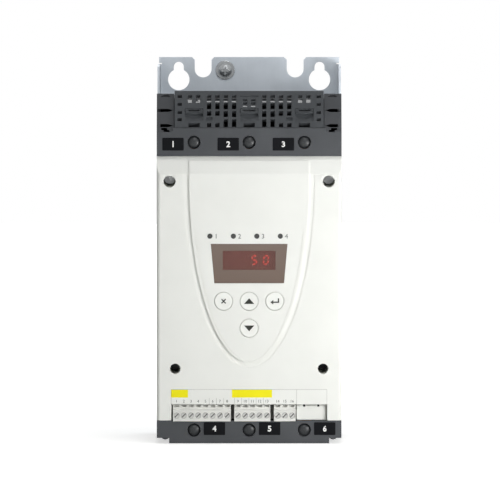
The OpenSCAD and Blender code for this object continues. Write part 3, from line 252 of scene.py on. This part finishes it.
# Fixing screws, clamps, earth screw and its washer: zinc-plated steel, cold headed and turned.
# Bright plating with faint turning marks gives small sharp highlights. The upper cover screws are
# pale as painted light at the foot of their deep holes, and the lower ones are near black as
# painted shade deep in theirs.
TURNING_MARK = 0.004
EARTH_EDGE = 0.0003
plated_steel = metal("bright_zinc_screw", "#989B9D", "#A8ABAD", 0.26, TURNING_MARK)
dress(["plate_screws", "housing_screws", "module_screws", "busbar_screws", "power_board_screws",
       "control_board_screws", "line_clamps", "load_clamps"], plated_steel)
dress(["earth_screw", "earth_washer"], plated_steel, EARTH_EDGE)
# Painted light: the pale heads stand in for light reaching the foot of the deep upper holes
dress(["upper_cover_screws"],
      metal("pale_screw_painted_hole_light", "#E2E4E6", "#EEF0F2", 0.3, TURNING_MARK))
# Painted shade: the near-black heads stand in for the shade deep in the lower holes
dress(["lower_cover_screws"], metal("dark_screw_painted_hole_shade", "#3A3B3C", "#444546", 0.35, TURNING_MARK))

# Base housing and the two terminal shrouds: dark grey glass-filled polyamide, injection moulded.
# Spark-eroded tools leave a fine dull grain; the colour drifts a little where the melt met.
# The grain is drawn at half a millimetre, coarser than the real one, so that it shows.
GRAIN = 0.0005
FINE_DEPTH = 0.00001
COARSE_DEPTH = 0.00002
COLOUR_DRIFT = 0.03
GRAIN_DOWN, GRAIN_UP = 0.05, 0.07
DULL = 0.15
SHROUD_EDGE = 0.0004


def moulded(name, dark, light, rough, grain=GRAIN, depth=FINE_DEPTH, shine=0.5):
    """Moulded plastic with a slow drift of colour and a fine grain in its surface."""
    finish = bpy.data.materials.new(name)
    tree = empty_tree(finish)
    drift = between(tree, spots(tree, COLOUR_DRIFT), 0.0, 1.0)
    texture = spots(tree, grain, detail=1.0)
    surface = add(tree, "BsdfPrincipled", {
        "Base Color": two_tone(tree, drift, dark, light),
        "Roughness": between(tree, texture, rough - GRAIN_DOWN, rough + GRAIN_UP),
        "Specular IOR Level": shine,
        "Normal": relief(tree, texture, depth)})
    add(tree, "OutputMaterial", {"Surface": surface.outputs[0]})
    return finish


dark_polyamide = moulded("dark_grey_polyamide", "#4C4E51", "#545659", 0.55,
                         depth=COARSE_DEPTH, shine=DULL)
dress(["base_housing", "upper_terminal_cover", "lower_terminal_cover"],
      dark_polyamide, SHROUD_EDGE)

# Sloped grille: clips in between the wings of the upper shroud, moulded in the same polyamide.
# The ramps under its top row lie flatter than its slope, and the tool's slides leave them
# polished. They are found by how far their faces look up.
RAMP_UP = 0.92
RAMP_SPREAD = 0.05
GRILLE_EDGE = 0.00025
grille_polyamide = moulded("dark_grille_polyamide", "#4B4E51", "#535659", 0.55,
                           depth=COARSE_DEPTH, shine=DULL)
tree = grille_polyamide.node_tree
facing = add(tree, "SeparateXYZ", {0: add(tree, "NewGeometry").outputs["True Normal"]})
polish = add(tree, "Math", {0: facing.outputs["Z"], 1: RAMP_UP, 2: RAMP_SPREAD},
             operation="COMPARE")
tree.links.new(polish.outputs[0], tree.nodes["Principled BSDF"].inputs["Coat Weight"])
dress(["upper_grille"], grille_polyamide, GRILLE_EDGE)

# Parts inside the housing: epoxy-filled modules, relays and transformers on its floor, and printed
# boards, copper busbars and brass pillars held by screws. They show as dark shapes behind the
# grille and the holes, and the white control board shows between the terminal blocks.
PHASES = (1, 2, 3)
DRAWN_MARK = 0.001
black_epoxy = moulded("black_epoxy_moulding", "#1E2022", "#26282A", 0.6)
dress([f"thyristor_module_{i}" for i in PHASES] + [f"current_transformer_{i}" for i in PHASES]
      + ["key_switches", "network_jack"], black_epoxy)
relay_case = moulded("dark_blue_relay_case", "#182334", "#1F2C40", 0.4)
dress([f"bypass_relay_{i}" for i in PHASES], relay_case)
dress(["power_board"], moulded("black_solder_mask", "#2A2725", "#35312E", 0.45))
dress(["control_board"], moulded("white_solder_mask", "#C6C7C1", "#D0D1CB", 0.45))
dress(["line_busbars", "load_busbars"],
      metal("bare_copper_strip", "#B0714A", "#C98A60", 0.35, DRAWN_MARK))
dress(["power_board_standoffs"], metal("turned_brass", "#B8944E", "#CDAA62", 0.3, DRAWN_MARK))

# Clamp screws: steel heads in black plastic caps, domed, that fill the six access holes.
# The caps are dark and slightly glossy, so each dome holds one soft highlight towards the lamps.
cap_plastic = moulded("black_cap_plastic", "#2C2E30", "#323436", 0.3, shine=0.3)
dress(["line_clamp_screws", "load_clamp_screws"], cap_plastic)

# Terminal labels: black polyester film with white numerals, stuck on the two shrouds beside the
# access holes. The upper three sit left of their holes and the lower three right of theirs.
LABEL_SIZE = (0.0150, 0.0089)
LABEL_THICKNESS = 0.0003
LABEL_CORNER = 0.0005
LABEL_TEXT_HEIGHT = 0.0042
# Weight and depth of the letters are in the font's own units, before they are scaled
LABEL_TEXT_WEIGHT = 0.03
LETTER_DEPTH = 0.1
LETTER_STEPS = 3
INK_DEPTH = 0.00006
PHASE_PITCH = 0.0388
UPPER_LABEL = (-0.0147, 0.21075)
LOWER_LABEL = (0.0144, 0.0104)


def piece_of(name, build, finish, body="unit"):
    """Turns a finished bmesh into a named piece that rides on a body."""
    bmesh.ops.recalc_face_normals(build, faces=build.faces)
    mesh = bpy.data.meshes.new(name)
    build.to_mesh(mesh)
    build.free()
    mesh.materials.append(finish)
    piece = bpy.data.objects.new(name, mesh)
    bpy.context.collection.objects.link(piece)
    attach(piece, body)


def plates(outlines, front, depth):
    """Builds closed plates from outlines in X and Z, from their front face back by a depth."""
    build = bmesh.new()
    for outline in outlines:
        near = [build.verts.new((x, front, z)) for x, z in outline]
        far = [build.verts.new((x, front + depth, z)) for x, z in outline]
        build.faces.new(near)
        build.faces.new(far[::-1])
        for i in range(len(outline)):
            build.faces.new((near[i - 1], near[i], far[i], far[i - 1]))
    return build


def rounded(x, z, width, height, corner, steps=4):
    """Outline of a rectangle with rounded corners about a centre."""
    outline = []
    for quarter, (sx, sz) in enumerate(((1, 1), (-1, 1), (-1, -1), (1, -1))):
        for i in range(steps + 1):
            angle = math.pi / 2 * (quarter + i / steps)
            outline.append((x + sx * (width / 2 - corner) + corner * math.cos(angle),
                            z + sz * (height / 2 - corner) + corner * math.sin(angle)))
    return outline


def letters(lines, front, weight=0.0):
    """Builds printed text. Each line is its text, centre in X and Z, cap height and alignment."""
    build = bmesh.new()
    for text, x, z, height, align in lines:
        curve = bpy.data.curves.new("lettering", "FONT")
        curve.body = text
        curve.align_x = align
        curve.extrude = LETTER_DEPTH
        curve.offset = weight
        curve.resolution_u = LETTER_STEPS
        holder = bpy.data.objects.new("lettering", curve)
        bpy.context.collection.objects.link(holder)
        shaped = bpy.data.meshes.new_from_object(
            holder.evaluated_get(bpy.context.evaluated_depsgraph_get()))
        tops = [v.co.y for v in shaped.vertices]
        scale = height / (max(tops) - min(tops))
        middle = (max(tops) + min(tops)) / 2
        shaped.transform(
            Matrix.Translation((x, front, z)) @ Matrix.Rotation(math.pi / 2, 4, "X")
            @ Matrix.Diagonal((scale, scale, INK_DEPTH / (2 * LETTER_DEPTH), 1))
            @ Matrix.Translation((0, -middle, 0)))
        build.from_mesh(shaped)
        bpy.data.meshes.remove(shaped)
        bpy.data.objects.remove(holder)
        bpy.data.curves.remove(curve)
    return build


label_film = moulded("black_polyester_label", "#0B0C0F", "#111216", 0.35, shine=0.08)
white_ink = moulded("white_label_ink", "#EDEDEB", "#F6F6F4", 0.5, shine=0.2)
shroud_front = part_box("upper_terminal_cover")[0].y
label_front = shroud_front - LABEL_THICKNESS
for row, (shift, z), digits in (("upper", UPPER_LABEL, "123"), ("lower", LOWER_LABEL, "456")):
    centres = [shift + phase * PHASE_PITCH for phase in (-1, 0, 1)]
    films = [rounded(x, z, *LABEL_SIZE, LABEL_CORNER) for x in centres]
    piece_of(f"{row}_terminal_labels", plates(films, label_front, LABEL_THICKNESS),
             label_film)
    numerals = [(digit, x, z, LABEL_TEXT_HEIGHT, "CENTER") for digit, x in zip(digits, centres)]
    piece_of(f"{row}_terminal_label_text", letters(numerals, label_front, LABEL_TEXT_WEIGHT),
             white_ink)

# Front cover: white polycarbonate and ABS blend, injection moulded in one piece with its shield.
# The tool is finely textured, so the white stays soft and its edges catch the light.
COVER_EDGE = 0.0004
white_blend = moulded("white_polycarbonate_blend", "#EEEFEA", "#F2F3EE", 0.5, shine=0.3)
dress(["front_cover"], white_blend, COVER_EDGE)

# Terminal legend: a field printed on the cover over the control terminals, with two yellow fields
# and plain numbers. Thin grey lines frame it, and the ink stands a hair above the cover's face.
LEGEND = (-0.0550, 0.0548, 0.0275, 0.0381)
LEGEND_LINE = 0.00025
LEGEND_ROW = 0.0320
LEGEND_BOX_X = 0.0333
LEGEND_TEXT_HEIGHT = 0.0019
YELLOW_FIELDS = [(-0.0550, -0.0430, 0.0323, 0.0379), (-0.0121, 0.0161, 0.0323, 0.0379)]
POLE_PITCH = 0.00508
POLE_COUNTS = {"control_terminal_8": 8, "control_terminal_5": 5, "control_terminal_3": 3}
PLAIN_POLES = 5
SHIELD_RISE = 0.0008
cover_face = cad_low.y + SHIELD_RISE


def bar(x0, x1, z0, z1):
    """Outline of a plain rectangle between two corners."""
    return [(x0, z0), (x1, z0), (x1, z1), (x0, z1)]


left, right, low, high = LEGEND
poles = {name: [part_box(name)[0].x + (i + 0.5) * POLE_PITCH for i in range(count)]
         for name, count in POLE_COUNTS.items()}
pole_places = [x for places in poles.values() for x in places]
divided = poles["control_terminal_5"] + poles["control_terminal_8"][PLAIN_POLES:]
uprights = [left, right - LEGEND_LINE, LEGEND_BOX_X]
lines = [bar(left, right, high - LEGEND_LINE, high)]
lines += [bar(x, x + LEGEND_LINE, low, high) for x in uprights]
lines += [bar(x, x + LEGEND_LINE, low, LEGEND_ROW) for x in (p - POLE_PITCH / 2 for p in divided)]
grey_ink = moulded("grey_legend_ink", "#B4B5AF", "#BEBFB9", 0.5, shine=0.2)
ink_face = cover_face - INK_DEPTH / 2
piece_of("terminal_legend_lines", plates(lines, ink_face, INK_DEPTH), grey_ink)
yellow_ink = moulded("yellow_legend_ink", "#F8ED12", "#FCF322", 0.5, shine=0.2)
fields = [bar(*field) for field in YELLOW_FIELDS]
piece_of("terminal_legend_fields", plates(fields, ink_face, INK_DEPTH),
         yellow_ink)
dark_ink = moulded("grey_black_ink", "#50514C", "#5A5B56", 0.5, shine=0.2)
numbers = [(str(i), x, (low + LEGEND_ROW) / 2, LEGEND_TEXT_HEIGHT, "CENTER")
           for i, x in enumerate(pole_places, 1)]
piece_of("terminal_numbers", letters(numbers, cover_face), dark_ink)

# Display: a digit module behind a smoked window that is moulded in tinted polycarbonate.
# The window is printed opaque round the module, and over it a thinner film lets the lit red digits
# through.
DIGIT_SLANT = 0.10
SEGMENT = 0.00085
SEGMENT_GAP = 0.00018
DIGITS = [((0.0017, 0.0057), "afgcd"), ((0.0098, 0.0138), "abcdef")]
DIGIT_LOW, DIGIT_HIGH = 0.1256, 0.1323
GLOW_SPOT = 0.0015
GLOW_DIM, GLOW_BRIGHT = 2.3, 2.9
HAZE_SPOT = 0.012
CLEAR_SHARE = 0.5
WINDOW_ROUGHNESS = (0.12, 0.2)
WINDOW_SHINE = 0.3
display_low, display_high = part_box("display_module")
window_low, window_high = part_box("display_window")


def segment_outlines(x0, x1, lit_segments):
    """Outlines of the lit bars of one seven-segment digit, slanted to the right."""
    middle = (DIGIT_LOW + DIGIT_HIGH) / 2
    half = SEGMENT / 2
    inner = (x0 + SEGMENT + SEGMENT_GAP, x1 - SEGMENT - SEGMENT_GAP)
    upper = (middle + half + SEGMENT_GAP, DIGIT_HIGH - SEGMENT - SEGMENT_GAP)
    lower = (DIGIT_LOW + SEGMENT + SEGMENT_GAP, middle - half - SEGMENT_GAP)
    bars = {
        "a": bar(*inner, DIGIT_HIGH - SEGMENT, DIGIT_HIGH),
        "g": bar(*inner, middle - half, middle + half),
        "d": bar(*inner, DIGIT_LOW, DIGIT_LOW + SEGMENT),
        "b": bar(x1 - SEGMENT, x1, *upper), "c": bar(x1 - SEGMENT, x1, *lower),
        "f": bar(x0, x0 + SEGMENT, *upper), "e": bar(x0, x0 + SEGMENT, *lower),
    }
    return [[(x + DIGIT_SLANT * (z - middle), z) for x, z in bars[s]] for s in lit_segments]


display_face = moulded("red_tinted_display_face", "#6E2422", "#7C2E2B", 0.4)
dress(["display_module"], display_face)
lit_diode = bpy.data.materials.new("lit_red_diode")
tree = empty_tree(lit_diode)
uneven = between(tree, spots(tree, GLOW_SPOT), GLOW_DIM, GLOW_BRIGHT)
glow = add(tree, "Emission", {"Color": linear("#FF4A40"), "Strength": uneven})
add(tree, "OutputMaterial", {"Surface": glow.outputs[0]})
segments = [outline for span, names in DIGITS for outline in segment_outlines(*span, names)]
piece_of("display_digits", plates(segments, display_low.y - INK_DEPTH, INK_DEPTH),
         lit_diode)

smoked = bpy.data.materials.new("smoked_polycarbonate")
tree = empty_tree(smoked)
place = add(tree, "SeparateXYZ", {0: add(tree, "TexCoord").outputs["Object"]})
across = add(tree, "Math", {0: place.outputs["X"]}, operation="ABSOLUTE").outputs[0]
upright = place.outputs["Z"]
inside_x = add(tree, "Math", {0: across, 1: display_high.x}, operation="LESS_THAN").outputs[0]
below_top = add(tree, "Math", {0: upright, 1: display_high.z}, operation="LESS_THAN").outputs[0]
above_foot = add(tree, "Math", {0: upright, 1: display_low.z}, operation="GREATER_THAN").outputs[0]
inside_z = add(tree, "Math", {0: below_top, 1: above_foot}, operation="MULTIPLY").outputs[0]
clear = add(tree, "Math", {0: inside_x, 1: inside_z}, operation="MULTIPLY").outputs[0]
smoke = between(tree, upright, 0.0, 1.0, window_low.z, window_high.z)
haze = spots(tree, HAZE_SPOT)
body = add(tree, "BsdfPrincipled", {
    "Base Color": add(tree, "Mix", {0: clear, 6: two_tone(tree, smoke, "#746359", "#7A6B62"),
                                    7: linear("#8C665F")}, data_type="RGBA").outputs[2],
    "Roughness": between(tree, haze, *WINDOW_ROUGHNESS),
    "Specular IOR Level": WINDOW_SHINE})
tint = add(tree, "BsdfTransparent", {"Color": linear("#F2C4BC")})
share = add(tree, "Math", {0: clear, 1: CLEAR_SHARE}, operation="MULTIPLY").outputs[0]
window = add(tree, "MixShader", {0: share, 1: body.outputs[0], 2: tint.outputs[0]})
add(tree, "OutputMaterial", {"Surface": window.outputs[0]})
dress(["display_window"], smoked)

# Status lights: smoked acrylic light pipes, moulded and pressed in, dark while nothing is
# signalled. A plain number stands in grey-black ink right of each pipe.
LIGHT_X = (-0.0276, -0.0111, 0.0054, 0.0219)
LIGHT_Z = 0.1460
NUMBER_SHIFT = 0.0032
NUMBER_HEIGHT = 0.0032
INK_PROUD = 0.00001
PIPE_RIPPLE = 0.001
PIPE_DEPTH = 0.000004
acrylic = moulded("smoked_acrylic", "#3E3E3C", "#4A4A48", 0.15,
                  grain=PIPE_RIPPLE, depth=PIPE_DEPTH)
dress(["led_light_pipes"], acrylic)
shield_face = cad_low.y
numbers = [(str(i), x + NUMBER_SHIFT, LIGHT_Z, NUMBER_HEIGHT, "LEFT")
           for i, x in enumerate(LIGHT_X, 1)]
piece_of("status_numbers", letters(numbers, shield_face - INK_PROUD + INK_DEPTH / 2),
         dark_ink)

# Push keys: white caps in a finer texture than the cover, each guided in its own round hole.
# Each cap carries one printed mark that rides with the key: a cross, a return arrow or a triangle.
CROSS_ARM = 0.0021
CROSS_HALF = 0.00042
TRIANGLE = [(-0.0036, -0.0019), (0.0036, -0.0019), (0.0, 0.0021)]
RETURN_ARROW = [(-0.0031, -0.0007), (-0.0010, -0.0023), (-0.0010, -0.00115),
                (0.00305, -0.00115), (0.00305, 0.0021), (0.00215, 0.0021),
                (0.00215, -0.00025), (-0.0010, -0.00025), (-0.0010, 0.0009)]
key_blend = moulded("white_key_plastic", "#F0F1EC", "#F5F6F1", 0.42, shine=0.3)
key_ink = moulded("black_key_ink", "#2E2F2B", "#383934", 0.5, shine=0.2)
dress(["key_escape", "key_up", "key_enter", "key_down"], key_blend)
cross = []
for quarter in range(4):
    turn = Matrix.Rotation(math.pi / 2 * quarter + math.pi / 4, 2)
    cross += [tuple(turn @ Vector(corner)) for corner in
              ((CROSS_HALF, CROSS_HALF), (CROSS_HALF, CROSS_ARM), (-CROSS_HALF, CROSS_ARM))]
downwards = [(x, -z) for x, z in TRIANGLE]
marks = {"escape": cross, "enter": RETURN_ARROW, "up": TRIANGLE, "down": downwards}
for key, mark in marks.items():
    key_low, key_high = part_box("key_" + key)
    middle = (key_low + key_high) / 2
    outline = [(x + middle.x, z + middle.z) for x, z in mark]
    piece_of(f"key_{key}_mark", plates([outline], key_low.y - INK_DEPTH / 2, INK_DEPTH),
             key_ink, f"{key}_key")

# Control terminals and the port's dust cover: polyamide in white and pale grey, cleanly moulded.
# The blocks are soldered to the control board and show their nickel-plated screws, whose slots
# carry painted shade.
SLOT_SHADE_DEPTHS = (0.0001, 0.0004)
HEAD_MARK = 0.002
BLOCK_EDGE = 0.0002
nickel = metal("nickel_plated_screw", "#B4B4B1", "#C2C2BF", 0.4, HEAD_MARK)
tree = nickel.node_tree
surface = tree.nodes["Principled BSDF"]
head_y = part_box("control_terminal_screws")[0].y
depth = add(tree, "SeparateXYZ", {0: add(tree, "TexCoord").outputs["Object"]}).outputs["Y"]
# Painted shade: faces deeper than the front of the screw heads turn dark grey, standing in for the
# shade inside the slots
slot_shade = between(tree, depth, 0.0, 1.0, *(head_y + d for d in SLOT_SHADE_DEPTHS))
plating = surface.inputs["Base Color"].links[0].from_socket
slot_shaded = add(tree, "Mix", {0: slot_shade, 6: plating, 7: linear("#4A4A48")}, data_type="RGBA")
tree.links.new(slot_shaded.outputs[2], surface.inputs["Base Color"])
dress(["control_terminal_screws"], nickel)
dress(POLE_COUNTS.keys(), moulded("white_polyamide", "#E2E2DD", "#E8E8E3", 0.38), BLOCK_EDGE)
dress(["port_cover"], moulded("pale_grey_polyamide", "#E8E9E4", "#EEEFEA", 0.45), BLOCK_EDGE)
